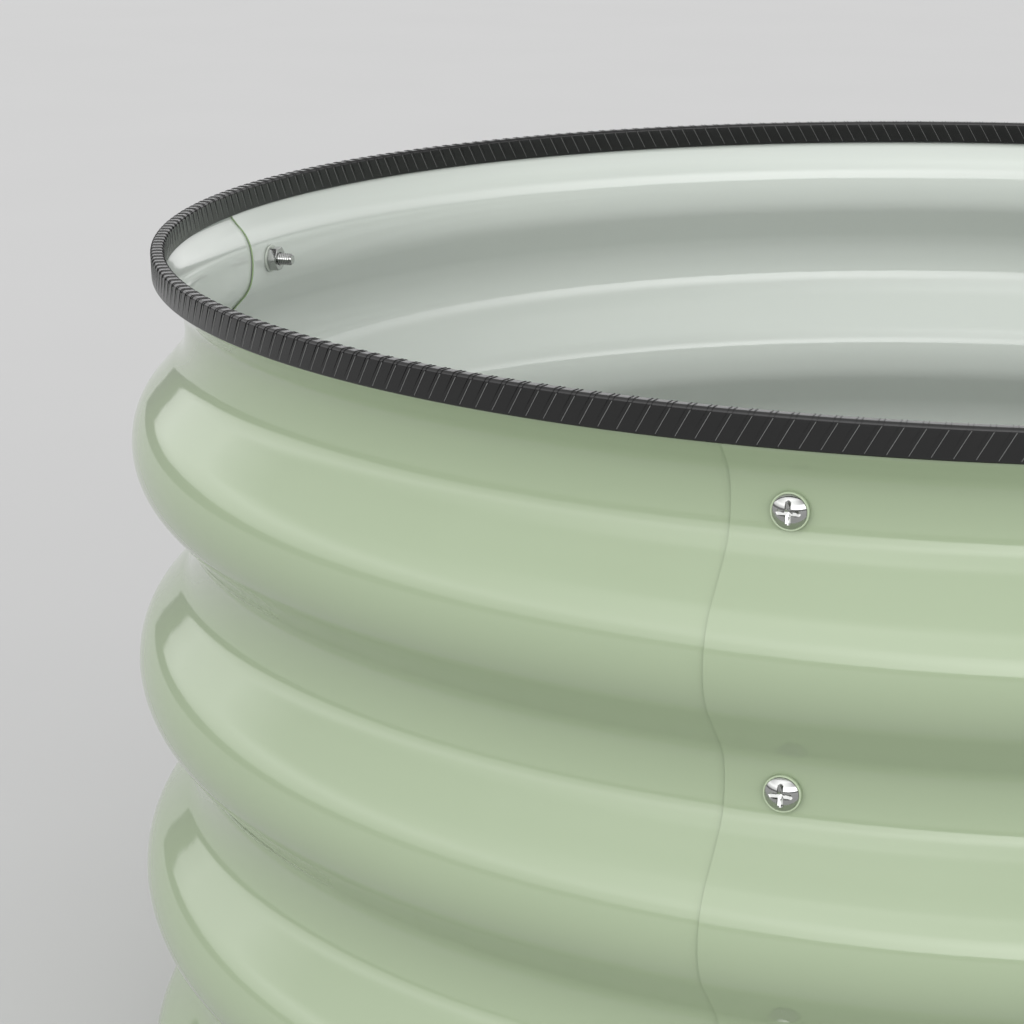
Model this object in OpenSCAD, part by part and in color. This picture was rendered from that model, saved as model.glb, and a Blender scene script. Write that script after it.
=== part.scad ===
// Round raised garden bed. Four corrugated steel quarter panels lap each other at four
// upright joints, where a row of bolts holds them together. A rubber trim with a steel core
// is pushed over the rim. The ring is open at the top and at the bottom.
// The origin is the centre of the ring at ground level, with +Z up. The joints stand at the
// right (+X), the back (+Y), the left (-X) and the front (-Y).

/* [Bed] */
// Overall height, from the ground to the top of the trim
bed_h = 430; // [260:10:900]
// Radius of the rim, at mid thickness of the sheet's upright lip
rim_r = 380; // [280:5:900]

/* [Sheet] */
// Thickness of the painted steel sheet
sheet_t = 0.8; // [0.5:0.1:1.2]
// Height of one wave, from crest to crest
wave_pitch = 100; // [80:1:140]
// How far the crests stand outside the rim's lip, as a share of the wave's height
crest_reach_share = 0.133; // [0.1:0.001:0.15]
// How far the valleys lie inside the rim's lip, as a share of the wave's height
valley_inset_share = 0.115; // [0.1:0.001:0.14]
// Bend radius of the crests, as a share of the wave's height
crest_bend_share = 0.3; // [0.2:0.01:0.34]
// Bend radius of the valleys' flatter floor, as a share of the wave's height
floor_bend_share = 0.38; // [0.28:0.01:0.5]
// Angle that the floor turns to each side of the valley's middle
floor_turn = 11.5; // [6:0.5:15]
// Bend radius of the valleys' shoulders, as a share of the wave's height
shoulder_bend_share = 0.2; // [0.14:0.01:0.26]
// Bend radius where the top wave turns up into the lip, at mid sheet
lip_bend_r = 7; // [4:0.5:9]

/* [Lap joints] */
// Width of the overlap of two neighbouring panels, along the rim
lap_w = 42; // [28:1:80]
// Gap between the two sheets of a lap, square to their flanks
lap_gap = 0.1; // [0.05:0.05:0.3]
// Least height of a bolt above the ground
lowest_bolt_h = 25; // [20:1:60]

/* [Edge trim] */
// Width of the trim across the rim
trim_w = 6; // [5.6:0.1:9]
// Height of the trim
trim_h = 12; // [10:0.5:16]
// Radius of the trim's rounded top corners
trim_corner_r = 2.6; // [2:0.1:2.7]
// Thickness of the rubber over the sheet's top edge
trim_web_t = 2; // [1.6:0.1:2.6]
// Gap between the sheet and the walls of the trim's slot
slot_gap = 0.2; // [0.1:0.05:0.25]
// Gap between the sheet's top edge and the floor of the trim's slot
seat_gap = 0.1; // [0:0.05:0.3]
// Height of the slot's flared mouth, where the sheet starts to bend away
mouth_h = 2.5; // [2:0.1:3]
// Extra width of the mouth, past the bend of the sheet
mouth_gap = 0.1; // [0.05:0.05:0.2]
// Gap where the two ends of the trim meet, at the right joint
trim_butt_gap = 0.6; // [0.2:0.1:3]

/* [Trim core] */
// Thickness of the steel strip inside the rubber
core_t = 0.4; // [0.2:0.05:0.5]
// Rubber over the outer face of the core
core_cover = 0.7; // [0.6:0.05:0.8]
// Rubber under the two lower edges of the core
core_foot = 1.2; // [0.8:0.1:2]
// Gap between the core and the rubber round it
core_gap = 0.05; // [0.02:0.01:0.06]

/* [Fasteners] */
// Diameter of the bolt's shank
bolt_d = 6; // [4:0.5:8]
// Length of the shank under the head
bolt_len = 16; // [14:1:35]
// Chamfer at the end of the shank
bolt_chamfer = 0.8; // [0.3:0.1:1.2]
// Diameter of the bolt's head
head_d = 12; // [9.5:0.5:14]
// Height of the bolt's head
head_h = 3.2; // [2.4:0.1:5]
// Height of the head's upright rim, under its dome
head_rim_h = 0.7; // [0.3:0.1:1.2]
// Length of the cross recess in the head
recess_len = 8.6; // [5:0.1:8.8]
// Width of the arms of the cross recess
recess_w = 1.8; // [1:0.1:2.2]
// Depth of the recess in its middle, below the top of the head
recess_depth = 2.2; // [1.8:0.1:2.3]
// Depth of the recess at the ends of its arms, below the top of the head
recess_end_depth = 1.5; // [1.3:0.1:1.7]
// Clearance round the shank in the two sheets
hole_gap = 0.5; // [0.2:0.1:1.5]
// Width of the nut across its flats
nut_af = 11; // [10:0.5:14]
// Height of the nut
nut_h = 4.5; // [3:0.5:7]
// Chamfer of the nut's corners, along its axis
nut_chamfer = 0.6; // [0.2:0.1:1]
// Clearance between the shank and the nut
thread_gap = 0.05; // [0.03:0.01:0.15]
// Outer diameter of the two washers
washer_d = 13.5; // [12.5:0.5:18]
// Thickness of the washer under the head
outer_washer_t = 1; // [0.8:0.1:2.5]
// Thickness of the washer under the nut
inner_washer_t = 1; // [0.6:0.1:2.5]
// Clearance between the shank and a washer
washer_gap = 0.2; // [0.1:0.05:0.6]
// Gap between a washer and the sheet it rests on
washer_seat_gap = 0.05; // [0.02:0.01:0.2]

/* [Hidden] */

// Places of the four joints, as angles round the ring
quarter = 90;
right_joint = 0;
back_joint = right_joint + quarter;
left_joint = back_joint + quarter;
front_joint = left_joint + quarter;

// Angle from the middle of a hexagon's side to its corner
hex_half = 30;

// Facets of the large ring and of the small parts, and the largest turn of one facet of a bend
ring_fn = 240;
small_fn = 48;
facet_turn = 8;
// Overrun of the cutting bodies
cut = 1;

// The wave's own radii, all at mid sheet
crest_r = rim_r + crest_reach_share * wave_pitch;
valley_r = rim_r - valley_inset_share * wave_pitch;
crest_bend_r = crest_bend_share * wave_pitch;
floor_bend_r = floor_bend_share * wave_pitch;
shoulder_bend_r = shoulder_bend_share * wave_pitch;

// A valley is a wide floor bend between two tighter shoulder bends, tangent where they meet.
// If a shoulder bend ran on, its apex would lie above or below the floor's, and further out.
shoulder_dz = (floor_bend_r - shoulder_bend_r) * sin(floor_turn);
shoulder_r = valley_r + (floor_bend_r - shoulder_bend_r) * (1 - cos(floor_turn));

// The straight flank's slope from the vertical is the one that is tangent to the crest bend
// and to the shoulder bend.
bends_r = crest_bend_r + shoulder_bend_r;
bends_dr = bends_r - (crest_r - shoulder_r);
bends_dz = wave_pitch / 2 - shoulder_dz;
flank = atan2(bends_dz, bends_dr) - acos(bends_r / norm([bends_dr, bends_dz]));

// The lip stands upright inside the trim, down to the top of the slot's flared mouth.
// Between the top valley and the lip the sheet climbs outwards: through the valley's upper
// shoulder bend, along the flank and through the lip bend.
slot_top = bed_h - trim_web_t;
trim_bottom = bed_h - trim_h;
sheet_top = slot_top - seat_gap;
lip_z = trim_bottom + mouth_h;
climb_r = shoulder_bend_r + lip_bend_r;
lip_climb = (rim_r - shoulder_r - climb_r * (1 - cos(flank))) / tan(flank);
top_valley_z = lip_z - climb_r * sin(flank) - lip_climb - shoulder_dz;
valley_rows = ceil(top_valley_z / wave_pitch);
bolt_rows = floor((top_valley_z - lowest_bolt_h) / wave_pitch) + 1;

// In a lap the outer sheet is moved out, and the inner one in, by half the step that keeps
// their flanks apart.
lap_angle = lap_w / 2 / rim_r * 180 / PI;
lap_shift = (sheet_t + lap_gap) / cos(flank) / 2;

// Places along a bolt's axis, measured from the axis of the ring. The washer under the head
// lies on the valley's floor, or on its shoulders if it is wider than the floor. The one
// under the nut lies on the ring's curve.
washer_r = washer_d / 2;
outer_face = valley_r + lap_shift + sheet_t / 2;
inner_face = valley_r - lap_shift - sheet_t / 2;
floor_face_r = floor_bend_r - sheet_t / 2;
shoulder_face_r = shoulder_bend_r - sheet_t / 2;
outer_rise = washer_r < floor_face_r * sin(floor_turn)
    ? floor_face_r - sqrt(pow(floor_face_r, 2) - pow(washer_r, 2))
        + facet_rise(floor_face_r, 2 * floor_turn)
    : shoulder_r - valley_r + shoulder_face_r
        - sqrt(pow(shoulder_face_r, 2) - pow(washer_r - shoulder_dz, 2))
        + facet_rise(shoulder_face_r, flank - floor_turn);
inner_drop = inner_face - sqrt(pow(inner_face, 2) - pow(washer_r, 2));
outer_washer_x = outer_face + outer_rise + washer_seat_gap;
head_x = outer_washer_x + outer_washer_t;
inner_washer_x = inner_face - inner_drop - washer_seat_gap - inner_washer_t;
nut_x = inner_washer_x - nut_h;

// Sizes of the fasteners that follow from the ones above
shank_r = bolt_d / 2;
hole_r = shank_r + hole_gap;
washer_bore_r = shank_r + washer_gap;
nut_bore_r = shank_r + thread_gap;
nut_corner_r = nut_af / 2 / cos(hex_half);
head_r = head_d / 2;
dome_h = head_h - head_rim_h;
dome_r = (pow(head_r, 2) + pow(dome_h, 2)) / (2 * dome_h);

// The trim's slot takes the two sheets of a lap, and its mouth follows the lip bend down to
// the trim's lower edge. The core follows the trim's outline at an even depth.
slot_half_w = lap_shift + sheet_t / 2 + slot_gap;
mouth_flare = lip_bend_r * (1 - cos(asin(mouth_h / lip_bend_r))) + mouth_gap;
butt_angle = trim_butt_gap / rim_r * 180 / PI;

// Facets of a bend with the turn given. Their number is even, so that one of their corners
// stands at the middle of the bend.
function facets(turn) = 2 * ceil(abs(turn) / facet_turn / 2);

// How far the facets of a hollow bend stand in front of its arc
function facet_rise(bend_r, turn) = bend_r * (1 - cos(turn / facets(turn) / 2));

// One bend of the sheet's mid line, as points [radius, height, slope]. It bows to the side
// given, from one slope to the other, about an apex at radius r and height z. Where its
// neighbours give its two end points already, they are left out.
function bend(r, z, bend_r, side, from, to, shared_ends = false) =
    let (steps = facets(to - from), first = shared_ends ? 1 : 0)
    [for (i = [first:steps - first])
        let (a = from + (to - from) * i / steps)
        [r + side * bend_r * (1 - cos(a)), z + bend_r * sin(a), a]];

function valley_bend(z) = concat(
    bend(shoulder_r, z - shoulder_dz, shoulder_bend_r, 1, -flank, -floor_turn),
    bend(valley_r, z, floor_bend_r, 1, -floor_turn, floor_turn, shared_ends = true),
    bend(shoulder_r, z + shoulder_dz, shoulder_bend_r, 1, floor_turn, flank));

function valley_z(row) = top_valley_z - row * wave_pitch;

// Mid line of the sheet, from under the ground up to the top edge
function mid_line() = concat(
    [for (row = [valley_rows:-1:0]) each concat(
        bend(crest_r, valley_z(row) - wave_pitch / 2, crest_bend_r, -1, -flank, flank),
        valley_bend(valley_z(row)))],
    bend(rim_r, lip_z, lip_bend_r, -1, -flank, 0),
    [[rim_r, sheet_top, 0]]);

// Section of the sheet: its mid line with half the thickness on each side, measured level
module sheet_section() {
    line = mid_line();
    last = len(line) - 1;
    intersection() {
        polygon(concat(
            [for (p = line) [p[0] + sheet_t / 2 / cos(p[2]), p[1]]],
            [for (i = [last:-1:0]) let (p = line[i]) [p[0] - sheet_t / 2 / cos(p[2]), p[1]]]));
        square([crest_r + sheet_t + cut, bed_h]);
    }
}

// Puts its children at each bolt of one joint, where +X runs out along the bolt
module at_bolts(joint) {
    rotate([0, 0, joint])
        for (row = [0:bolt_rows - 1])
            translate([0, 0, valley_z(row)]) children();
}

// Bolt holes of one joint, through both sheets
module bolt_holes(joint) {
    depth = outer_face - inner_face + outer_rise + cut;
    at_bolts(joint)
        translate([inner_face - cut, 0, 0]) rotate([0, 90, 0])
            cylinder(h = depth + cut, r = hole_r, $fn = small_fn);
}

// Quarter panel. It starts outside its neighbour, at the joint given, and ends inside the
// next one. Its axis lies a little off the ring's, so that it is a plain arc all the way.
module panel(joint) {
    next = joint + quarter;
    color("#b4c5a6")
    difference() {
        translate(lap_shift * [cos(joint) - cos(next), sin(joint) - sin(next), 0])
            rotate([0, 0, joint - lap_angle])
                rotate_extrude(angle = quarter + 2 * lap_angle, $fn = ring_fn) sheet_section();
        bolt_holes(joint);
        bolt_holes(next);
    }
}

module panel_front_left() { panel(left_joint); }
module panel_front_right() { panel(front_joint); }
module panel_back_right() { panel(right_joint); }
module panel_back_left() { panel(back_joint); }

// Arc of points [radius, height] about a centre, from one angle to another
function arc(x, z, r, from, to) =
    let (steps = facets(to - from))
    [for (i = [0:steps]) let (a = from + (to - from) * i / steps) [x + r * cos(a), z + r * sin(a)]];

// Upright outline with rounded top corners, centred on the rim
module arch(half_w, corner_r, top, bottom) {
    corner_x = half_w - corner_r;
    corner_z = top - corner_r;
    polygon(concat(
        [[rim_r + half_w, bottom]],
        arc(rim_r + corner_x, corner_z, corner_r, 0, quarter),
        arc(rim_r - corner_x, corner_z, corner_r, quarter, 2 * quarter),
        [[rim_r - half_w, bottom]]));
}

// Section of the steel core, grown by a gap on all sides
module core_section(gap) {
    outer_inset = core_cover - gap;
    inner_inset = core_cover + core_t + gap;
    foot = trim_bottom + core_foot - gap;
    difference() {
        arch(trim_w / 2 - outer_inset, trim_corner_r - outer_inset, bed_h - outer_inset, foot);
        arch(trim_w / 2 - inner_inset, trim_corner_r - inner_inset, bed_h - inner_inset, foot - cut);
    }
}

// Slot for the sheet, with its flared mouth
module slot_section() {
    mouth_low = trim_bottom - cut;
    low_half_w = slot_half_w + mouth_flare * (lip_z - mouth_low) / mouth_h;
    translate([rim_r, 0])
        polygon([[low_half_w, mouth_low], [slot_half_w, lip_z], [slot_half_w, slot_top],
                 [-slot_half_w, slot_top], [-slot_half_w, lip_z], [-low_half_w, mouth_low]]);
}

module edge_trim() {
    color("#2b2b2b")
    rotate([0, 0, right_joint + butt_angle / 2])
        rotate_extrude(angle = 4 * quarter - butt_angle, $fn = ring_fn)
            difference() {
                arch(trim_w / 2, trim_corner_r, bed_h, trim_bottom);
                slot_section();
                core_section(core_gap);
            }
}

module trim_core() {
    color("#8d9094")
    rotate([0, 0, right_joint + butt_angle / 2])
        rotate_extrude(angle = 4 * quarter - butt_angle, $fn = ring_fn) core_section(0);
}

// Two opposite arms of the cross recess, under the top of the head. Their floor slopes down
// from both ends to the middle.
module recess_arms() {
    rotate([quarter, 0, 0])
        linear_extrude(recess_w, center = true)
            polygon([[-recess_len / 2, cut], [-recess_len / 2, -recess_end_depth],
                     [-recess_w / 2, -recess_depth], [recess_w / 2, -recess_depth],
                     [recess_len / 2, -recess_end_depth], [recess_len / 2, cut]]);
}

// Bolt with a domed head and a cross recess, standing on the underside of its head
module bolt() {
    difference() {
        intersection() {
            translate([0, 0, head_h - dome_r]) sphere(dome_r, $fn = small_fn);
            cylinder(h = head_h, r = head_r, $fn = small_fn);
        }
        for (turn = [0, quarter])
            translate([0, 0, head_h]) rotate([0, 0, turn]) recess_arms();
    }
    translate([0, 0, bolt_chamfer - bolt_len])
        cylinder(h = bolt_len - bolt_chamfer, r = shank_r, $fn = small_fn);
    translate([0, 0, -bolt_len])
        cylinder(h = bolt_chamfer, r1 = shank_r - bolt_chamfer, r2 = shank_r, $fn = small_fn);
}

module bolts(joint) {
    color("#c9cac8")
    at_bolts(joint) translate([head_x, 0, 0]) rotate([0, 90, 0]) bolt();
}

module front_bolts() { bolts(front_joint); }
module right_bolts() { bolts(right_joint); }
module back_bolts() { bolts(back_joint); }
module left_bolts() { bolts(left_joint); }

module washer(thick) {
    difference() {
        cylinder(h = thick, r = washer_r, $fn = small_fn);
        translate([0, 0, -cut]) cylinder(h = thick + 2 * cut, r = washer_bore_r, $fn = small_fn);
    }
}

module washers(joint, face_x, thick) {
    color("#c3d0b8")
    at_bolts(joint) translate([face_x, 0, 0]) rotate([0, 90, 0]) washer(thick);
}

module front_outer_washers() { washers(front_joint, outer_washer_x, outer_washer_t); }
module right_outer_washers() { washers(right_joint, outer_washer_x, outer_washer_t); }
module back_outer_washers() { washers(back_joint, outer_washer_x, outer_washer_t); }
module left_outer_washers() { washers(left_joint, outer_washer_x, outer_washer_t); }

module front_inner_washers() { washers(front_joint, inner_washer_x, inner_washer_t); }
module right_inner_washers() { washers(right_joint, inner_washer_x, inner_washer_t); }
module back_inner_washers() { washers(back_joint, inner_washer_x, inner_washer_t); }
module left_inner_washers() { washers(left_joint, inner_washer_x, inner_washer_t); }

// Hexagon nut, standing on its chamfered face
module nut() {
    chamfer_r = nut_corner_r - nut_chamfer / tan(hex_half);
    difference() {
        cylinder(h = nut_h, r = nut_corner_r, $fn = 6);
        rotate_extrude($fn = small_fn)
            polygon([[chamfer_r, 0], [chamfer_r, -cut], [nut_corner_r + cut, -cut],
                     [nut_corner_r + cut, nut_chamfer], [nut_corner_r, nut_chamfer]]);
        translate([0, 0, -cut]) cylinder(h = nut_h + 2 * cut, r = nut_bore_r, $fn = small_fn);
    }
}

module nuts(joint) {
    color("#c9cac8")
    at_bolts(joint) translate([nut_x, 0, 0]) rotate([0, 90, 0]) nut();
}

module front_nuts() { nuts(front_joint); }
module right_nuts() { nuts(right_joint); }
module back_nuts() { nuts(back_joint); }
module left_nuts() { nuts(left_joint); }

panel_front_left();
panel_front_right();
panel_back_right();
panel_back_left();
edge_trim();
trim_core();
front_bolts();
right_bolts();
back_bolts();
left_bolts();
front_outer_washers();
right_outer_washers();
back_outer_washers();
left_outer_washers();
front_inner_washers();
right_inner_washers();
back_inner_washers();
left_inner_washers();
front_nuts();
right_nuts();
back_nuts();
left_nuts();
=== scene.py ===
"""Looks of the round raised garden bed: glossy painted corrugated panels, a ribbed rubber
trim round the rim, domed cross-recess bolts, translucent washers and hexagon nuts."""

import math

import bpy
import numpy as np
from mathutils import Matrix, Vector
from mathutils.geometry import tessellate_polygon


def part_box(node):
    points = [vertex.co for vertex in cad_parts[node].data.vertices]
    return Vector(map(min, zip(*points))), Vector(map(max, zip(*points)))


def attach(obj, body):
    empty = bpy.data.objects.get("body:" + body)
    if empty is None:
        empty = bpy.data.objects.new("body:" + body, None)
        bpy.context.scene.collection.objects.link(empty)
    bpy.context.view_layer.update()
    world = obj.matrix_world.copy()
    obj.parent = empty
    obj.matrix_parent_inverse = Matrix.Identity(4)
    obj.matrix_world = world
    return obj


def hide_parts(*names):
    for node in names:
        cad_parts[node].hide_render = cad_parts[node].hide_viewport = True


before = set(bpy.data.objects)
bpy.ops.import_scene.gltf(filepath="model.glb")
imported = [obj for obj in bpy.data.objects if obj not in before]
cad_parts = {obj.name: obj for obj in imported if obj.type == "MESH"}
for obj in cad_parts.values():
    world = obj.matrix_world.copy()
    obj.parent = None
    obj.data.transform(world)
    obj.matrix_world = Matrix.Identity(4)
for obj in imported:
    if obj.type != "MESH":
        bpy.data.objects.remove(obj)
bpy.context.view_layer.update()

MM = 0.001

# The bed's own sizes in millimetres, the same as in the part's source
BED_H = 430.0
RIM_R = 380.0
SHEET_T = 0.8
WAVE_PITCH = 100.0
# the crest's mid line is 0.06 nearer the axis than the source's, so that the smooth sheet
# stays inside the source's faceted box
CREST_R = 393.24
VALLEY_R = 368.5
CREST_BEND_R = 30.0
FLOOR_BEND_R = 38.0
SHOULDER_BEND_R = 20.0
FLOOR_TURN = math.radians(11.5)
LIP_BEND_R = 7.0
LAP_W = 42.0
LAP_HALF_ANGLE = LAP_W / 2 / RIM_R
LAP_GAP = 0.1
TRIM_W = 6.0
TRIM_BOTTOM = 418.0
SLOT_GAP = 0.2
MOUTH_GAP = 0.1
LIP_Z = 420.5
SHEET_TOP = 427.9
SLOT_TOP = 428.0
BOLT_ROWS = 4
# Steps round the ring of one quarter panel and of the whole trim, and of a turned washer
PANEL_STEPS = 132
TRIM_STEPS = 480
WASHER_STEPS = 72

# The flank's slope from the vertical, tangent to the crest bend and to the shoulder bend
SHOULDER_DZ = (FLOOR_BEND_R - SHOULDER_BEND_R) * math.sin(FLOOR_TURN)
SHOULDER_R = VALLEY_R + (FLOOR_BEND_R - SHOULDER_BEND_R) * (1 - math.cos(FLOOR_TURN))
BENDS_R = CREST_BEND_R + SHOULDER_BEND_R
BENDS_DR = BENDS_R - (CREST_R - SHOULDER_R)
BENDS_DZ = WAVE_PITCH / 2 - SHOULDER_DZ
FLANK = math.atan2(BENDS_DZ, BENDS_DR) - math.acos(BENDS_R / math.hypot(BENDS_DR, BENDS_DZ))
CLIMB_R = SHOULDER_BEND_R + LIP_BEND_R
LIP_CLIMB = (RIM_R - SHOULDER_R - CLIMB_R * (1 - math.cos(FLANK))) / math.tan(FLANK)
TOP_VALLEY_Z = LIP_Z - CLIMB_R * math.sin(FLANK) - LIP_CLIMB - SHOULDER_DZ
LAP_SHIFT = (SHEET_T + LAP_GAP) / math.cos(FLANK) / 2

# The four lap joints, as angles round the ring
JOINTS = {"right": 0.0, "back": 0.5 * math.pi, "left": math.pi, "front": 1.5 * math.pi}
PANELS = {
    "panel_front_left": "left",
    "panel_front_right": "front",
    "panel_back_right": "right",
    "panel_back_left": "back",
}

# The fasteners' sizes. The recess is a groove here, a little wider and deeper than the
# source's plain one, as the close view of the heads shows it
HEAD_R = 6.0
HEAD_H = 3.2
HEAD_RIM_H = 0.7
RECESS_L = 8.6
RECESS_W = 2.1
RECESS_DEPTH = 2.6
RECESS_END_DEPTH = 1.3
RECESS_GROOVE_SLOPE = 0.5
SHANK_R = 3.0
SHANK_L = 16.0
THREAD_PITCH = 1.0
THREAD_DEPTH = 0.3
THREAD_START = 6.0
NUT_AF = 11.0
NUT_H = 4.5
NUT_BORE_GAP = 0.05
NUT_BORE_CHAMFER = 0.4
NUT_BORE_CHAMFER_H = 0.45
WASHER_R = 6.75
WASHER_T = 1.0
WASHER_GAP = 0.2

# The camera, from the fit to the rim's ellipse: lens in millimetres on a 36 mm frame, place
# in metres, level direction, and degrees that it looks down
PHOTO_LENS = 97.845
PHOTO_FRAME = 36.0
PHOTO_PLACE = (0.2288, -1.2376, 0.6383)
PHOTO_AHEAD = (-0.35347, 0.93544, 0.0)
PHOTO_DIP = 15.33

# The studio light, as stops of (degrees above the horizon, level): an even band all round,
# and sources with their middle at an angle round from +X
SKY_TOP = 4.0
SKY_BAND = [
    (0, 0.3),
    (4.6, 0.3),
    (5.4, 1.0),
    (9, 1.4),
    (18, 1.4),
    (26, 0.6),
    (42, 0.45),
    (60, 0.9),
    (75, 1.1),
]
SKY_SOURCES = [
    (270, [(14, 0), (24, 1.6), (50, 1.6), (62, 0.4), (75, 0)]),
    (315, [(4.6, 0), (5.4, 2.9), (16, 2.8), (28, 0)]),
    (205, [(10, 0), (18, 0.7), (44, 0.7), (56, 0)]),
]
FLOOR_HALF_W = 12000.0


def front_place(node_name, end):
    """Distance from the ring's axis to the outer (0) or inner (1) end of a set of parts of the
    front joint, whose bolts point along -Y."""
    return -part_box(node_name)[end][1] / MM


HEAD_X = front_place("front_bolts", 0) - HEAD_H
OUTER_WASHER_X = front_place("front_outer_washers", 1)
INNER_WASHER_X = front_place("front_inner_washers", 1)
NUT_X = front_place("front_nuts", 1)


# ---------------------------------------------------------------- mesh making


def add_piece(name, points, faces, materials, face_material=None):
    """Smooth mesh object at the origin from points in millimetres and an array of quads.

    A quad whose last corner is -1 is a triangle."""
    mesh = bpy.data.meshes.new(name)
    faces = np.asarray(faces)
    counts = np.where(faces[:, 3] < 0, 3, 4)
    mesh.vertices.add(len(points))
    mesh.vertices.foreach_set("co", (np.asarray(points, dtype=np.float64) * MM).ravel())
    mesh.loops.add(int(counts.sum()))
    mesh.loops.foreach_set("vertex_index", faces[faces >= 0].ravel())
    mesh.polygons.add(len(faces))
    mesh.polygons.foreach_set("loop_start", np.concatenate([[0], np.cumsum(counts)[:-1]]))
    if face_material is not None:
        mesh.polygons.foreach_set("material_index", np.asarray(face_material, dtype=np.int32))
    mesh.polygons.foreach_set("use_smooth", np.full(len(faces), True))
    for material in materials:
        mesh.materials.append(material)
    mesh.update(calc_edges=True)
    mesh.validate()
    piece = bpy.data.objects.new(name, mesh)
    bpy.context.scene.collection.objects.link(piece)
    return piece


def grid_faces(rows, cols, close_rows=False, close_cols=False):
    """Quads of a grid of rows by cols points, each (i, j), (i, j+1), (i+1, j+1), (i+1, j)."""
    i = np.arange(rows if close_rows else rows - 1)
    j = np.arange(cols if close_cols else cols - 1)
    i, j = np.meshgrid(i, j, indexing="ij")
    i2, j2 = (i + 1) % rows, (j + 1) % cols
    quads = np.stack([i * cols + j, i * cols + j2, i2 * cols + j2, i2 * cols + j], axis=-1)
    return quads.reshape(-1, 4)


def crisp(piece, degrees):
    """Keeps edges sharper than the angle crisp under smooth shading."""
    piece.data.set_sharp_from_angle(angle=math.radians(degrees))


def join_parts(parts):
    """One point array and one face array out of several (points, faces)."""
    points, faces, base = [], [], 0
    for part_points, part_faces in parts:
        points.append(part_points)
        faces.append(np.where(part_faces < 0, -1, part_faces + base))
        base += len(part_points)
    return np.concatenate(points), np.concatenate(faces)


def closing_fan(ring, pole):
    """Triangles from each step of a ring of point numbers to one pole."""
    ring = np.asarray(ring)
    count = len(ring)
    return np.stack([ring, np.roll(ring, -1), np.full(count, pole), np.full(count, -1)], axis=1)


def end_cap(outline):
    """Triangles that fill a closed flat outline of (x, y) points, hollows included."""
    triangles = tessellate_polygon([[Vector((x, y, 0)) for x, y in outline]])
    return np.array([[a, b, c, -1] for a, b, c in triangles])


def turned(profile, steps):
    """Ring turned about Z: the closed profile's (radius, z) points turned in equal steps.

    Faces point to the left of the profile's direction as seen with r to the right, z up."""
    angle = np.linspace(0, 2 * np.pi, steps, endpoint=False)
    r, z = np.asarray(profile, dtype=float).T
    points = np.stack(
        [
            r[:, None] * np.cos(angle),
            r[:, None] * np.sin(angle),
            np.broadcast_to(z[:, None], (len(r), steps)),
        ],
        axis=-1,
    )
    faces = grid_faces(len(r), steps, close_rows=True, close_cols=True)
    return points.reshape(-1, 3), faces


# ---------------------------------------------------------------- materials


def srgb(code):
    """Linear colour of an sRGB hex value: each channel is undone by the sRGB curve."""
    v = np.array([int(code[i : i + 2], 16) for i in (1, 3, 5)]) / 255
    lin = np.where(v <= 0.04045, v / 12.92, ((v + 0.055) / 1.055) ** 2.4)
    return (float(lin[0]), float(lin[1]), float(lin[2]), 1.0)


def new_material(name):
    material = bpy.data.materials.new(name)
    material.use_nodes = True
    material.node_tree.nodes.clear()
    return material


def node(tree, kind, settings=None, values=None, links=None):
    """Adds a node with its settings, its socket values, and links into its sockets."""
    n = tree.nodes.new(kind)
    for key, value in (settings or {}).items():
        setattr(n, key, value)
    for key, value in (values or {}).items():
        n.inputs[key].default_value = value
    for key, source in (links or {}).items():
        tree.links.new(source, n.inputs[key])
    return n


def finish_material(material, surface):
    node(material.node_tree, "ShaderNodeOutputMaterial", links={"Surface": surface.outputs[0]})
    return material


def powder_coat(name, base, tint, gloss, peel):
    """Gloss powder coat on steel, baked: a smooth film with sharp, slightly rippled
    reflections. Sizes: orange peel about 2.5 mm across, gloss smudges about 40 mm, colour
    drift about 125 mm."""
    m = new_material(name)
    t = m.node_tree
    place = node(t, "ShaderNodeTexCoord").outputs["Object"]
    drift = node(
        t, "ShaderNodeTexNoise", values={"Scale": 8.0, "Detail": 2.0}, links={"Vector": place}
    )
    mix = node(
        t,
        "ShaderNodeMix",
        {"data_type": "RGBA"},
        {6: srgb(base), 7: srgb(tint)},
        {0: drift.outputs["Fac"]},
    )
    ripple = node(
        t, "ShaderNodeTexNoise", values={"Scale": 400.0, "Detail": 1.0}, links={"Vector": place}
    )
    bump = node(
        t,
        "ShaderNodeBump",
        values={"Strength": peel, "Distance": 0.0002},
        links={"Height": ripple.outputs["Fac"]},
    )
    smudge = node(
        t, "ShaderNodeTexNoise", values={"Scale": 25.0, "Detail": 3.0}, links={"Vector": place}
    )
    rough = node(
        t,
        "ShaderNodeMapRange",
        values={"To Min": gloss * 0.85, "To Max": gloss * 1.2},
        links={"Value": smudge.outputs["Fac"]},
    )
    paint = node(
        t,
        "ShaderNodeBsdfPrincipled",
        values={"IOR": 1.58},
        links={
            "Base Color": mix.outputs[2],
            "Roughness": rough.outputs[0],
            "Normal": bump.outputs[0],
        },
    )
    return finish_material(m, paint)


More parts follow.
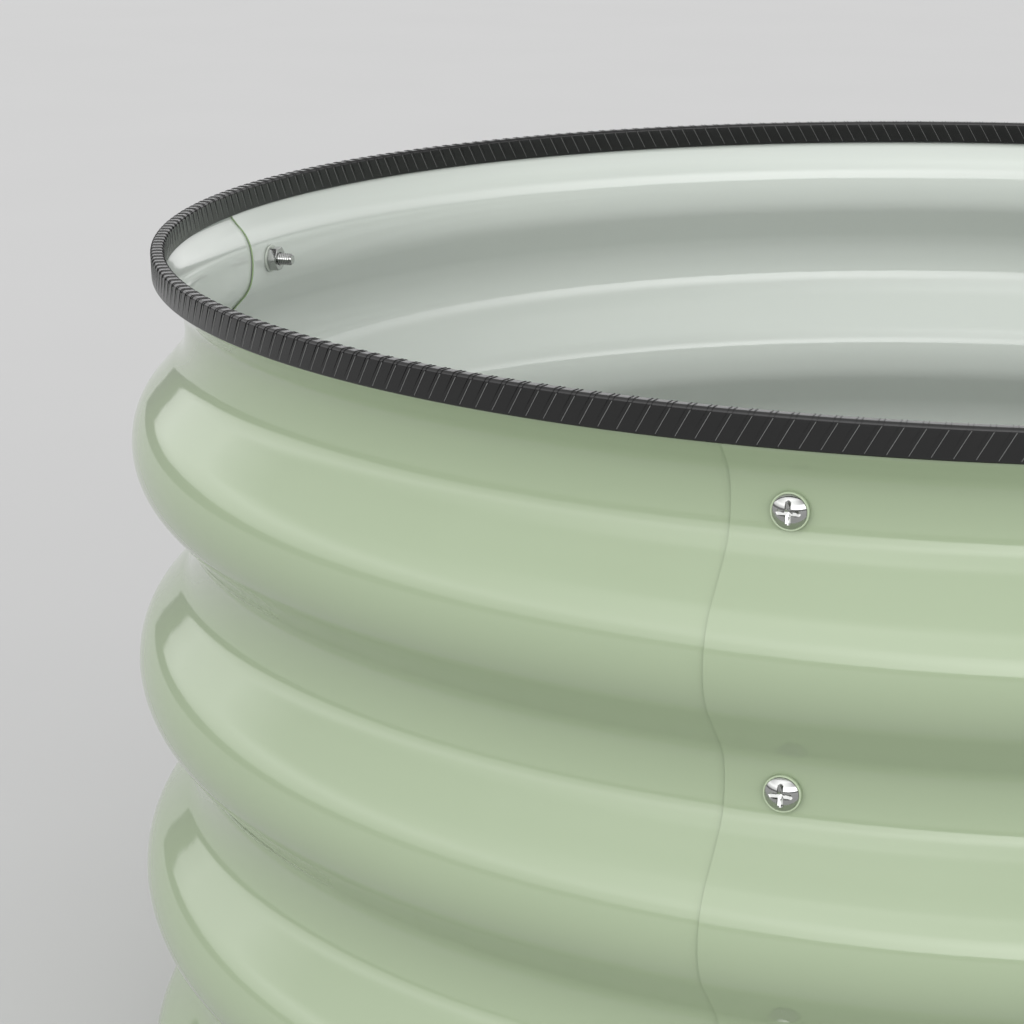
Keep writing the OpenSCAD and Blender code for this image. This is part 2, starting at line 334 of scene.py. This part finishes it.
def extruded_rubber(name, base, bloom_colour):
    """Extruded black rubber: near black with a satin sheen and a faint dusty bloom in
    clouds about 17 mm across. The real grain, about 0.2 mm, is too fine to show, so it is
    drawn 1 mm across."""
    m = new_material(name)
    t = m.node_tree
    place = node(t, "ShaderNodeTexCoord").outputs["Object"]
    bloom = node(
        t, "ShaderNodeTexNoise", values={"Scale": 60.0, "Detail": 4.0}, links={"Vector": place}
    )
    mix = node(
        t,
        "ShaderNodeMix",
        {"data_type": "RGBA"},
        {6: srgb(base), 7: srgb(bloom_colour)},
        {0: bloom.outputs["Fac"]},
    )
    grain = node(
        t, "ShaderNodeTexNoise", values={"Scale": 1000.0, "Detail": 2.0}, links={"Vector": place}
    )
    bump = node(
        t,
        "ShaderNodeBump",
        values={"Strength": 0.15, "Distance": 0.0001},
        links={"Height": grain.outputs["Fac"]},
    )
    rubber = node(
        t,
        "ShaderNodeBsdfPrincipled",
        values={"IOR": 1.5, "Roughness": 0.26},
        links={"Base Color": mix.outputs[2], "Normal": bump.outputs[0]},
    )
    return finish_material(m, rubber)


def bright_steel(name, base, rough, brush):
    """Zinc-plated steel, rolled or turned: a bright grey metal with sharp, dark and light
    reflections and a thin haze in spots about 3 mm across. The real marks, about 0.1 mm
    apart, are too fine to show, so they are drawn 0.4 mm apart."""
    m = new_material(name)
    t = m.node_tree
    place = node(t, "ShaderNodeTexCoord").outputs["Object"]
    haze = node(
        t, "ShaderNodeTexNoise", values={"Scale": 300.0, "Detail": 3.0}, links={"Vector": place}
    )
    mix = node(
        t,
        "ShaderNodeMix",
        {"data_type": "RGBA"},
        {6: srgb(base), 7: srgb("#b4b5b3")},
        {0: haze.outputs["Fac"]},
    )
    marks = node(
        t, "ShaderNodeTexNoise", values={"Scale": 2500.0, "Detail": 2.0}, links={"Vector": place}
    )
    bump = node(
        t,
        "ShaderNodeBump",
        values={"Strength": brush, "Distance": 0.00005},
        links={"Height": marks.outputs["Fac"]},
    )
    rough_map = node(
        t,
        "ShaderNodeMapRange",
        values={"To Min": rough * 0.7, "To Max": rough * 1.5},
        links={"Value": haze.outputs["Fac"]},
    )
    steel = node(
        t,
        "ShaderNodeBsdfPrincipled",
        values={"Metallic": 1.0},
        links={
            "Base Color": mix.outputs[2],
            "Roughness": rough_map.outputs[0],
            "Normal": bump.outputs[0],
        },
    )
    return finish_material(m, steel)


def clear_silicone(name, base, tint):
    """Translucent moulded silicone: the paint behind shows through as a pale green tint, in
    clouds about 6 mm across, with a soft white gloss on its rounded edge."""
    m = new_material(name)
    t = m.node_tree
    place = node(t, "ShaderNodeTexCoord").outputs["Object"]
    cloud = node(
        t, "ShaderNodeTexNoise", values={"Scale": 180.0, "Detail": 2.0}, links={"Vector": place}
    )
    mix = node(
        t,
        "ShaderNodeMix",
        {"data_type": "RGBA"},
        {6: srgb(base), 7: srgb(tint)},
        {0: cloud.outputs["Fac"]},
    )
    silicone = node(
        t,
        "ShaderNodeBsdfPrincipled",
        values={"IOR": 1.41, "Roughness": 0.15, "Transmission Weight": 0.3},
        links={"Base Color": mix.outputs[2]},
    )
    return finish_material(m, silicone)


# ---------------------------------------------------------------- corrugated sheet


def bend(r, z, bend_r, side, a0, a1, steps):
    """Points (radius, height, slope) of one bend: r + side * R * (1 - cos a), z + R * sin a."""
    a = np.linspace(a0, a1, steps + 1)
    return np.stack([r + side * bend_r * (1 - np.cos(a)), z + bend_r * np.sin(a), a], axis=1)


def straight(p, q, steps):
    """Points between p and q, without both ends."""
    s = np.linspace(0, 1, steps + 1)[1:-1, None]
    return p + (q - p) * s


def sheet_mid_line():
    """Mid line of the corrugated sheet from the ground to its top edge, as rows of radius,
    height and slope: crest bend, straight flank, shoulder bend, floor bend, shoulder bend,
    flank, and so on, ending in the lip bend and the upright lip."""
    parts = []

    def valley(z):
        """Shoulder, floor and shoulder bends of one valley."""
        low = bend(SHOULDER_R, z - SHOULDER_DZ, SHOULDER_BEND_R, 1, -FLANK, -FLOOR_TURN, 8)
        mid = bend(VALLEY_R, z, FLOOR_BEND_R, 1, -FLOOR_TURN, FLOOR_TURN, 8)[1:-1]
        top = bend(SHOULDER_R, z + SHOULDER_DZ, SHOULDER_BEND_R, 1, FLOOR_TURN, FLANK, 8)
        return np.concatenate([low, mid, top])

    rows = int(math.ceil(TOP_VALLEY_Z / WAVE_PITCH))
    for row in range(rows, -1, -1):
        z = TOP_VALLEY_Z - row * WAVE_PITCH
        parts.append(bend(CREST_R, z - WAVE_PITCH / 2, CREST_BEND_R, -1, -FLANK, FLANK, 22))
        parts.append(valley(z))
    parts.append(bend(RIM_R, LIP_Z, LIP_BEND_R, -1, -FLANK, 0, 10))
    line = parts[0]
    for part in parts[1:]:
        line = np.concatenate([line, straight(line[-1], part[0], 3), part])
    line = np.concatenate([line, [[RIM_R, SHEET_TOP, 0.0]]])
    # cut level at the ground, where the line crosses height 0
    first = int(np.argmax(line[:, 1] > 0))
    a, b = line[first - 1], line[first]
    ground = a + (b - a) * (0 - a[1]) / (b[1] - a[1])
    return np.concatenate([[ground], line[first:]])


def corrugated_panel(name, joint, materials):
    """Quarter panel: the sheet's closed outline, mid line plus and minus t / (2 cos slope),
    carried along an arc about an axis a little off the ring's."""
    line = sheet_mid_line()
    half = SHEET_T / 2 / np.cos(line[:, 2])
    # start and end angle of the lapped arc
    start, end = joint - LAP_HALF_ANGLE, joint + math.pi / 2 + LAP_HALF_ANGLE
    # this panel lies outside at its first joint and inside at its second, a quarter on
    to_first = np.array([math.cos(joint), math.sin(joint)])
    from_second = np.array([math.sin(joint), -math.cos(joint)])
    centre = LAP_SHIFT * (to_first + from_second)
    angle = np.linspace(start, end, PANEL_STEPS + 1)
    outer = np.stack([line[:, 0] + half, line[:, 1]], axis=1)
    inner = np.stack([line[:, 0] - half, line[:, 1]], axis=1)[::-1]
    ring = np.concatenate([outer, inner])
    n, steps = len(ring), len(angle)
    points = np.stack(
        [
            centre[0] + ring[:, 0] * np.cos(angle)[:, None],
            centre[1] + ring[:, 0] * np.sin(angle)[:, None],
            np.broadcast_to(ring[:, 1], (steps, n)),
        ],
        axis=-1,
    ).reshape(-1, 3)
    faces = grid_faces(steps, n, close_cols=True)[:, ::-1]
    across = np.arange(len(line) - 1)
    # the materials' numbers; the cut edges are at the sheet's top and at the ground
    outer_side, inner_side, cut_side = 0, 1, 2
    kind = np.full(n, inner_side)
    kind[: len(line) - 1] = outer_side
    kind[len(line) - 1] = cut_side
    kind[n - 1] = cut_side
    face_kind = np.tile(kind, steps - 1)
    # the two upright cut edges, each a strip of quads between the outer and the inner line
    cap = np.stack([across, across + 1, n - 2 - across, n - 1 - across], axis=1)
    faces = np.concatenate([faces, cap[:, ::-1], cap + (steps - 1) * n])
    face_kind = np.concatenate([face_kind, np.full(2 * len(across), cut_side)])
    piece = add_piece(name, points, faces, materials, face_kind)
    crisp(piece, 40)
    return piece


# ---------------------------------------------------------------- rim trim

# Height of a rib, half its width at the foot, the crown's share of that width, the number of
# pairs round the rim, and the distance between the two ribs of a pair
RIB_H = 0.24
RIB_HALF_W = 0.13
RIB_CROWN = 0.6
RIB_PAIRS = 336
RIB_GAP = 1.8
RIB_SLANT = math.radians(29.5)
# a rib's feet lie this far inside the rubber, and its lower ends this far up the trim
RIB_SINK = 0.12
RIB_FOOT_UP = 0.9
# the slant stops this far below the top
RIB_SLANT_STOP = 0.6
# the first pair stands this share of the pairs' spacing past the butt joint
RIB_START = 0.4
TRIM_HALF_W = TRIM_W / 2 - RIB_H
TRIM_TOP = BED_H - RIB_H
# the photograph's corner, sharper than the source's, which has to cover the core
TRIM_CORNER_R = 1.4
TRIM_CHAMFER_W = 0.3
TRIM_CHAMFER_H = 0.4
BUTT_HALF_GAP = 0.3
SLOT_HALF_W = LAP_SHIFT + SHEET_T / 2 + SLOT_GAP
MOUTH_TURN = math.asin((LIP_Z - TRIM_BOTTOM) / LIP_BEND_R)
MOUTH_FLARE = LIP_BEND_R * (1 - math.cos(MOUTH_TURN)) + MOUTH_GAP


def round_corner(x, z, r, a0, a1, steps):
    """Points on an arc about (x, z)."""
    a = np.radians(np.linspace(a0, a1, steps + 1))
    return np.stack([x + r * np.cos(a), z + r * np.sin(a)], axis=1)


def trim_outline():
    """Closed outline of the rubber, (distance from the rim, height): up the outer side, over
    the rounded top, down the inner side, then in through the flared mouth and the slot."""
    w, c = TRIM_HALF_W, TRIM_CORNER_R
    rows = 5
    side = np.linspace(TRIM_BOTTOM + TRIM_CHAMFER_H, TRIM_TOP - c, rows)
    lip = np.array([[w - TRIM_CHAMFER_W, TRIM_BOTTOM], [w, TRIM_BOTTOM + TRIM_CHAMFER_H]])
    outer = np.stack([np.full(rows, w), side], axis=1)[1:-1]
    top = np.concatenate(
        [
            round_corner(w - c, TRIM_TOP - c, c, 0, 90, 9),
            round_corner(c - w, TRIM_TOP - c, c, 90, 180, 9),
        ]
    )
    inner = np.stack([np.full(rows, -w), side[::-1]], axis=1)[1:-1]
    mouth = SLOT_HALF_W + MOUTH_FLARE
    slot = np.array(
        [
            [-w, TRIM_BOTTOM + TRIM_CHAMFER_H],
            [-w + TRIM_CHAMFER_W, TRIM_BOTTOM],
            [-mouth, TRIM_BOTTOM],
            [-SLOT_HALF_W, LIP_Z],
            [-SLOT_HALF_W, SLOT_TOP],
            [SLOT_HALF_W, SLOT_TOP],
            [SLOT_HALF_W, LIP_Z],
            [mouth, TRIM_BOTTOM],
        ]
    )
    return np.concatenate([lip, outer, top, inner, slot])


def rubber_trim(materials):
    """U-shaped rubber strip: its outline carried once round the rim, with a fine butt gap at
    the right joint, and pairs of slanted ribs over it. On the two upright sides the second rib
    of each pair carries a painted highlight: its crest is drawn in pale grey rubber."""
    outline = trim_outline()
    gap = BUTT_HALF_GAP / RIM_R
    angle = np.linspace(gap, 2 * np.pi - gap, TRIM_STEPS + 1)
    r = RIM_R + outline[:, 0]
    n = len(outline)
    body = np.stack(
        [
            r * np.cos(angle)[:, None],
            r * np.sin(angle)[:, None],
            np.broadcast_to(outline[:, 1], (len(angle), n)),
        ],
        axis=-1,
    ).reshape(-1, 3)
    body_faces = grid_faces(len(angle), n, close_cols=True)[:, ::-1]
    cap = end_cap(outline)
    last = np.where(cap < 0, -1, cap + (len(angle) - 1) * n)
    body_faces = np.concatenate([body_faces, cap, last[:, [2, 1, 0, 3]]])
    ribs, rib_faces = slanted_ribs()
    points, faces = join_parts([(body, body_faces), (ribs, rib_faces)])
    # a rib has four quads in each stretch of its path, and two more at its ends; the first
    # and the last stretch are the upright sides
    around, ends = 4, 2
    each = len(rib_faces) // (2 * RIB_PAIRS)
    upright = np.zeros(each, dtype=int)
    upright[:around] = 1
    upright[-around - ends : -ends] = 1
    # painted highlight: the upright sides of the second rib of each pair take the pale grey crest
    # finish
    painted_highlight_ribs = np.concatenate([np.zeros(each, dtype=int), upright])
    kind = np.concatenate([np.zeros(len(body_faces), dtype=int), np.tile(painted_highlight_ribs, RIB_PAIRS)])
    piece = add_piece("edge_trim_rubber", points, faces, materials, kind)
    crisp(piece, 35)
    return piece


def slanted_ribs():
    """Ribs of the trim. Each follows the path up the outer side, over the top and down the
    inner side; on the sides the angle round the rim moves on by tan(slant) per height. Its
    section is four points: two feet a little inside the rubber and a narrower crown, which
    sinks to the rubber at the path's two ends."""
    w, c = TRIM_HALF_W, TRIM_CORNER_R
    foot = TRIM_BOTTOM + RIB_FOOT_UP
    outer = [(w, foot), (w, TRIM_TOP - c)]
    arcs = np.concatenate(
        [
            round_corner(w - c, TRIM_TOP - c, c, 20, 90, 3),
            round_corner(c - w, TRIM_TOP - c, c, 90, 160, 3),
        ]
    )
    path = np.concatenate([outer, arcs, [(-w, TRIM_TOP - c), (-w, foot)]])
    centre = np.where(path[:, :1] > 0, w - c, c - w)
    corner = np.concatenate([centre, np.full((len(path), 1), TRIM_TOP - c)], axis=1)
    normal = path - corner
    flat = path[:, 1] <= TRIM_TOP - c
    normal[flat] = np.stack([np.sign(path[flat, 0]), np.zeros(flat.sum())], axis=1)
    normal = normal / np.linalg.norm(normal, axis=1, keepdims=True)
    # the slant stops where the side turns over into the top
    drop = np.minimum(path[:, 1], TRIM_TOP - RIB_SLANT_STOP) - TRIM_TOP
    slant = np.tan(RIB_SLANT) * drop / RIM_R
    fade = np.ones(len(path))
    fade[[0, -1]] = 0.0
    section = [
        (-RIB_HALF_W, -RIB_SINK),
        (-RIB_HALF_W * RIB_CROWN, RIB_H),
        (RIB_HALF_W * RIB_CROWN, RIB_H),
        (RIB_HALF_W, -RIB_SINK),
    ]
    pitch = 2 * np.pi / RIB_PAIRS
    starts = np.arange(RIB_PAIRS)[:, None] * pitch + np.array([0, RIB_GAP / RIM_R])
    starts = (starts + pitch * RIB_START).ravel()
    rings = []
    for along, out in section:
        lift = np.where(out > 0, out * fade, out)[:, None]
        p = path + normal * lift
        a = starts[:, None] + slant + along / RIM_R
        r = RIM_R + p[:, 0]
        height = np.broadcast_to(p[:, 1], a.shape)
        rings.append(np.stack([r * np.cos(a), r * np.sin(a), height], axis=-1))
    ribs = np.stack(rings, axis=2)
    count, rows, cols = ribs.shape[:3]
    one = grid_faces(rows, cols, close_cols=True)
    ends = np.array([[3, 2, 1, 0], [0, 1, 2, 3]]) + np.array([[0], [(rows - 1) * cols]])
    one = np.concatenate([one, ends])
    faces = (one[None] + (np.arange(count) * rows * cols)[:, None, None]).reshape(-1, 4)
    return ribs.reshape(-1, 3), faces


# ---------------------------------------------------------------- fasteners


def at_bolt(points, joint, x, row):
    """Turns a part made about +Z so that Z runs outward along the bolt, X runs up and Y runs
    along the ring, and puts it at distance x from the ring's axis."""
    z = TOP_VALLEY_Z - row * WAVE_PITCH
    radial = np.array([math.cos(joint), math.sin(joint), 0])
    tangent = np.array([-math.sin(joint), math.cos(joint), 0])
    up = np.array([0, 0, 1.0])
    return (
        points[:, 2:3] * radial
        - points[:, 1:2] * tangent
        + points[:, 0:1] * up
        + radial * x
        + up * z
    )


def head_surface():
    """Domed bolt head with a cross recess. A square grid (u, v) is laid on the disc by
    x = u sqrt(1 - v^2 / 2), y = v sqrt(1 - u^2 / 2). Its height is the dome's, or in an arm
    the floor's: a groove that is lowest along its middle line and slopes down from the arm's
    end to the centre, height = top - depth + slope * run + groove slope * |across|."""
    half, reach = RECESS_W / 2, RECESS_L / 2
    # distances of the grid's lines from the middle, close together at the arms' edges and at
    # the head's edge
    near = np.array([0, 0.25, 0.5, 0.75, half - 0.04, half + 0.04])
    far = np.linspace(half + 0.45, reach - 0.4, 8)
    end = np.array([reach - 0.04, reach + 0.04])
    rim = np.array([4.7, 5.0, 5.3, 5.6, 5.8, 5.92, HEAD_R])
    pos = np.concatenate([near, far, end, rim]) / HEAD_R
    line = np.concatenate([-pos[:0:-1], pos])
    u, v = np.meshgrid(line, line, indexing="ij")
    x = HEAD_R * u * np.sqrt(1 - v**2 / 2)
    y = HEAD_R * v * np.sqrt(1 - u**2 / 2)
    r = np.hypot(x, y)
    dome_h = HEAD_H - HEAD_RIM_H
    dome_r = (HEAD_R**2 + dome_h**2) / (2 * dome_h)
    z = HEAD_H - dome_r + np.sqrt(np.maximum(dome_r**2 - np.minimum(r, HEAD_R) ** 2, 0))

    def arm(along, across):
        """Height of the surface in one pair of arms, and the dome's outside them."""
        along, across = np.abs(along), np.abs(across)
        fall = (RECESS_DEPTH - RECESS_END_DEPTH) / reach
        floor = HEAD_H - RECESS_DEPTH + fall * along + RECESS_GROOVE_SLOPE * across
        return np.where((along < reach) & (across < half), np.minimum(floor, z), z)

    # the lines of the grid bend a little, so the arms are measured in the grid's own units
    z = np.minimum(arm(u * HEAD_R, v * HEAD_R), arm(v * HEAD_R, u * HEAD_R))
    n = len(line)
    faces = grid_faces(n, n)
    top = np.stack([x, y, z], axis=-1).reshape(-1, 3)
    # boundary of the square, once round
    idx = np.arange(n * n).reshape(n, n)
    loop = np.concatenate([idx[:-1, 0], idx[-1, :-1], idx[:0:-1, -1], idx[0, :0:-1]])
    edge = top[loop]
    # rings down the head's side, round its lower edge and in under it to inside the shank
    side = [(HEAD_R, 0.45), (HEAD_R, 0.2), (5.9, 0.05), (5.7, 0.0), (SHANK_R - 0.5, 0.0)]
    rings = []
    for radius, height in side:
        ring = edge.copy()
        ring[:, :2] *= radius / np.hypot(ring[:, 0], ring[:, 1])[:, None]
        ring[:, 2] = height
        rings.append(ring)
    count = len(loop)
    skirt = np.concatenate(rings)
    this = n * n + np.arange(count)
    first = np.stack([loop, np.roll(loop, -1), np.roll(this, -1), this], axis=1)
    rest = grid_faces(len(rings), count, close_cols=True) + n * n
    points = np.concatenate([top, skirt, [[0.0, 0.0, 0.0]]])
    under = closing_fan(len(points) - 1 - count + np.arange(count), len(points) - 1)
    quads = np.concatenate([faces[:, ::-1], first[:, ::-1], rest[:, ::-1]])
    return points, np.concatenate([quads, under[:, [1, 0, 2, 3]]])


def threaded_shank():
    """Shank below the head: radius R less a triangle wave of (height / pitch - turn), which
    makes the helical thread, with a chamfered, closed end. The thread deepens over the first
    turn below its start."""
    steps = 40
    # from just inside the head to the end's chamfer
    z = np.concatenate([[0.1], np.linspace(-THREAD_START, 0.8 - SHANK_L, 100)])
    turn = np.linspace(0, 1, steps, endpoint=False)
    phase = (z[:, None] / THREAD_PITCH - turn) % 1.0
    groove = 1 - np.abs(2 * phase - 1)
    fade = np.clip((-THREAD_START - z) / THREAD_PITCH, 0, 1)[:, None]
    r = SHANK_R - THREAD_DEPTH * groove * fade
    end = [(SHANK_R - 0.35, 0.5 - SHANK_L), (SHANK_R - 0.8, -SHANK_L), (0.9, -SHANK_L)]
    r = np.concatenate([r, [np.full(steps, e[0]) for e in end]])
    z = np.concatenate([z, [e[1] for e in end]])
    a = 2 * np.pi * turn
    height = np.broadcast_to(z[:, None], r.shape)
    points = np.stack([r * np.cos(a), r * np.sin(a), height], axis=-1)
    points = np.concatenate([points.reshape(-1, 3), [[0, 0, 0.1], [0, 0, -SHANK_L]]])
    count = len(z) * steps
    top = closing_fan(np.arange(steps), count)
    tip = closing_fan(count - steps + np.arange(steps), count + 1)[:, [1, 0, 2, 3]]
    return points, np.concatenate([grid_faces(len(z), steps, close_cols=True)[:, ::-1], top, tip])


def hexagon_nut():
    """Hexagon nut about +Z. At each angle a from a flat's middle the side stands at
    af / (2 cos a), a little less at the corners, and a cone of 30 degrees cuts its two ends;
    the bore is chamfered."""
    steps = 96
    half, hex_half = NUT_AF / 2, np.pi / 6
    angle = np.linspace(0, 2 * np.pi, steps, endpoint=False)
    off = (angle + hex_half) % (2 * hex_half) - hex_half
    corner_cut = 0.12
    side = np.minimum(half / np.cos(off), half / math.cos(hex_half) - corner_cut)
    face_r = half * 0.97
    drop = (side - face_r) * math.tan(np.pi / 6)
    bore = SHANK_R + NUT_BORE_GAP
    profile = [
        (bore, NUT_BORE_CHAMFER_H),
        (bore + NUT_BORE_CHAMFER, 0.0),
        (face_r, 0.0),
        (side, drop),
        (side, NUT_H - drop),
        (face_r, NUT_H),
        (bore + NUT_BORE_CHAMFER, NUT_H),
        (bore, NUT_H - NUT_BORE_CHAMFER_H),
    ]
    r = np.stack([np.broadcast_to(radius, steps) for radius, _ in profile])
    z = np.stack([np.broadcast_to(height, steps) for _, height in profile])
    points = np.stack([r * np.cos(angle), r * np.sin(angle), z], axis=-1)
    faces = grid_faces(len(profile), steps, close_rows=True, close_cols=True)
    return points.reshape(-1, 3), faces


def flat_washer():
    """Flat washer with rounded edges: a rounded rectangle turned about +Z."""
    bore, c = SHANK_R + WASHER_GAP, 0.35
    corners = [
        round_corner(WASHER_R - c, c, c, -90, 0, 4),
        round_corner(WASHER_R - c, WASHER_T - c, c, 0, 90, 4),
        round_corner(bore + c, WASHER_T - c, c, 90, 180, 3),
        round_corner(bore + c, c, c, 180, 270, 3),
    ]
    return turned(np.concatenate(corners), WASHER_STEPS)


def squeezed_washer():
    """Washer under a head. The head presses its middle flat, and outside the head it swells
    into a ring: a half circle turned about +Z that stands proud of the middle."""
    bore, c = SHANK_R + WASHER_GAP, 0.25
    groove_r = HEAD_R + 0.04
    swell = (WASHER_R - groove_r) / 2
    swell_z = WASHER_T + 0.2
    corners = [
        round_corner(WASHER_R - c, c, c, -90, 0, 4),
        round_corner(WASHER_R - swell, swell_z, swell, 0, 180, 10),
        [[groove_r, WASHER_T]],
        round_corner(bore + c, WASHER_T - c, c, 90, 180, 3),
        round_corner(bore + c, c, c, 180, 270, 3),
    ]
    return turned(np.concatenate(corners), WASHER_STEPS)


def fastener_set(name, part, joint, x, material):
    """The same part at every bolt of one joint."""
    points, faces = part
    parts = [(at_bolt(points, joint, x, row), faces) for row in range(BOLT_ROWS)]
    piece = add_piece(name, *join_parts(parts), [material])
    crisp(piece, 30)
    return piece


# ---------------------------------------------------------------- finishes

outer_paint = powder_coat("gloss_powder_coat_pale_green", "#92a084", "#95a387", 0.05, 0.06)
inner_paint = powder_coat("gloss_primer_pale_grey_green", "#bac0ba", "#bdc3bc", 0.05, 0.06)
cut_edge = powder_coat("painted_cut_edge_green", "#8a9f77", "#92a77f", 0.3, 0.3)
rubber = extruded_rubber("extruded_black_rubber", "#050505", "#0d0d0d")
# painted highlight: pale grey crests that stand in for the light catching the second rib of each
# pair
rib_highlight_rubber = extruded_rubber("painted_highlight_rubber_rib_crests", "#6a6b6a", "#787978")
bolt_steel = bright_steel("polished_zinc_steel", "#adaeac", 0.06, 0.06)
nut_steel = bright_steel("zinc_plated_nut_steel", "#adaeac", 0.12, 0.1)
core_steel = bright_steel("rolled_core_steel", "#8f9293", 0.35, 0.4)
washer_silicone = clear_silicone("translucent_washer_silicone", "#bfcfae", "#c8d7b9")
inner_silicone = clear_silicone("clear_inner_washer_silicone", "#c1c8be", "#c9d0c6")

# ---------------------------------------------------------------- building the bed


def adopt(piece, node_name):
    """The piece rides on the body and stands for the CAD node, which is hidden."""
    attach(piece, "root")
    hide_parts(node_name)


panel_finishes = [outer_paint, inner_paint, cut_edge]
for panel_name, joint_name in PANELS.items():
    sheet = corrugated_panel(panel_name + "_sheet", JOINTS[joint_name], panel_finishes)
    adopt(sheet, panel_name)

adopt(rubber_trim([rubber, rib_highlight_rubber]), "edge_trim")

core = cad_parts["trim_core"]
core.data.materials.clear()
core.data.materials.append(core_steel)

# node's name without the joint, what the piece adds to it, shape, place, finish and slot
bolt_part = join_parts([head_surface(), threaded_shank()])
FASTENERS = [
    ("bolts", "_domed", bolt_part, HEAD_X, bolt_steel, "bolt_steel"),
    ("nuts", "_hex", hexagon_nut(), NUT_X, nut_steel, "nut_steel"),
    (
        "outer_washers",
        "_soft",
        squeezed_washer(),
        OUTER_WASHER_X,
        washer_silicone,
        "washer_plastic",
    ),
    ("inner_washers", "_soft", flat_washer(), INNER_WASHER_X, inner_silicone, "washer_plastic"),
]
for joint_name, joint in JOINTS.items():
    for kind, ending, part, x, finish, slot_name in FASTENERS:
        node_name = joint_name + "_" + kind
        pieces = fastener_set(node_name + ending, part, joint, x, finish)
        adopt(pieces, node_name)

# ---------------------------------------------------------------- studio


def studio_floor():
    """Plain pale floor, a square centred under the bed."""
    s = FLOOR_HALF_W
    points = np.array([[-s, -s, 0], [s, -s, 0], [s, s, 0], [-s, s, 0]])
    m = new_material("pale_studio_floor")
    t = m.node_tree
    place = node(t, "ShaderNodeTexCoord").outputs["Object"]
    grain = node(t, "ShaderNodeTexNoise", values={"Scale": 3.0}, links={"Vector": place})
    mix = node(
        t,
        "ShaderNodeMix",
        {"data_type": "RGBA"},
        {6: srgb("#b9b9b9"), 7: srgb("#bcbcbc")},
        {0: grain.outputs["Fac"]},
    )
    paper = node(
        t,
        "ShaderNodeBsdfPrincipled",
        values={"Roughness": 0.9},
        links={"Base Color": mix.outputs[2]},
    )
    finish_material(m, paper)
    floor = add_piece("studio_floor", points, np.array([[0, 1, 2, 3]]), [m])
    return floor


def height_ramp(tree, up, stops):
    """Brightness against the height above the horizon, as stops of (degrees, level)."""
    ramp = node(tree, "ShaderNodeValToRGB", links={"Fac": up})
    band = ramp.color_ramp
    while len(band.elements) < len(stops):
        band.elements.new(0.5)
    for element, (degrees, level) in zip(band.elements, stops):
        element.position = math.sin(math.radians(degrees))
        element.color = (level / SKY_TOP, level / SKY_TOP, level / SKY_TOP, 1)
    return ramp.outputs["Color"]


def facing(tree, flat, degrees):
    """Share of a lobe of light: the squared cosine of the angle round from its middle."""
    middle = (math.cos(math.radians(degrees)), math.sin(math.radians(degrees)), 0)
    dot = node(tree, "ShaderNodeVectorMath", {"operation": "DOT_PRODUCT"}, {1: middle}, {0: flat})
    cosine = dot.outputs["Value"]
    front = node(tree, "ShaderNodeMath", {"operation": "MAXIMUM"}, {1: 0.0}, {0: cosine})
    share = node(tree, "ShaderNodeMath", {"operation": "POWER"}, {1: 2.0}, {0: front.outputs[0]})
    return share.outputs[0]


def studio_world():
    """Soft studio light: an even band of light a little above the horizon all round, with a
    larger soft source in front, one low on the right and a weak one on the left."""
    world = bpy.data.worlds.new("soft_studio")
    bpy.context.scene.world = world
    world.use_nodes = True
    t = world.node_tree
    t.nodes.clear()
    direction = node(t, "ShaderNodeTexCoord").outputs["Generated"]
    height = node(t, "ShaderNodeSeparateXYZ", links={"Vector": direction}).outputs["Z"]
    # the lower edge of the light is a little uneven, by about one degree
    wander = node(
        t, "ShaderNodeTexNoise", values={"Scale": 3.0, "Detail": 2.0}, links={"Vector": direction}
    )
    shift = node(
        t,
        "ShaderNodeMath",
        {"operation": "MULTIPLY_ADD"},
        {1: 0.05, 2: -0.025},
        {0: wander.outputs["Fac"]},
    )
    raised = node(t, "ShaderNodeMath", {"operation": "ADD"}, links={0: height, 1: shift.outputs[0]})
    up = raised.outputs[0]
    level = node(
        t, "ShaderNodeVectorMath", {"operation": "MULTIPLY"}, {1: (1, 1, 0)}, {0: direction}
    )
    unit = node(t, "ShaderNodeVectorMath", {"operation": "NORMALIZE"}, links={0: level.outputs[0]})
    flat = unit.outputs[0]
    sky = height_ramp(t, up, SKY_BAND)
    for azimuth, stops in SKY_SOURCES:
        lobe = node(
            t,
            "ShaderNodeVectorMath",
            {"operation": "SCALE"},
            links={0: height_ramp(t, up, stops), "Scale": facing(t, flat, azimuth)},
        )
        total = node(
            t, "ShaderNodeVectorMath", {"operation": "ADD"}, links={0: sky, 1: lobe.outputs[0]}
        )
        sky = total.outputs[0]
    light = node(t, "ShaderNodeBackground", values={"Strength": SKY_TOP}, links={"Color": sky})
    node(t, "ShaderNodeOutputWorld", links={"Surface": light.outputs[0]})


def photo_camera():
    """Camera where the photograph's was, from the fit to the rim's ellipse."""
    data = bpy.data.cameras.new("photo_camera")
    camera = bpy.data.objects.new("photo_camera", data)
    bpy.context.scene.collection.objects.link(camera)
    data.lens = PHOTO_LENS
    data.sensor_width = PHOTO_FRAME
    data.sensor_fit = "HORIZONTAL"
    data.clip_start = 0.01
    dip = math.radians(PHOTO_DIP)
    look = Vector(PHOTO_AHEAD).normalized() * math.cos(dip) + Vector((0, 0, -math.sin(dip)))
    turn = look.to_track_quat("-Z", "Y").to_matrix().to_4x4()
    camera.matrix_world = Matrix.Translation(PHOTO_PLACE) @ turn
    bpy.context.scene.camera = camera


studio_floor()
studio_world()
photo_camera()
bpy.context.scene.view_settings.view_transform = "Standard"
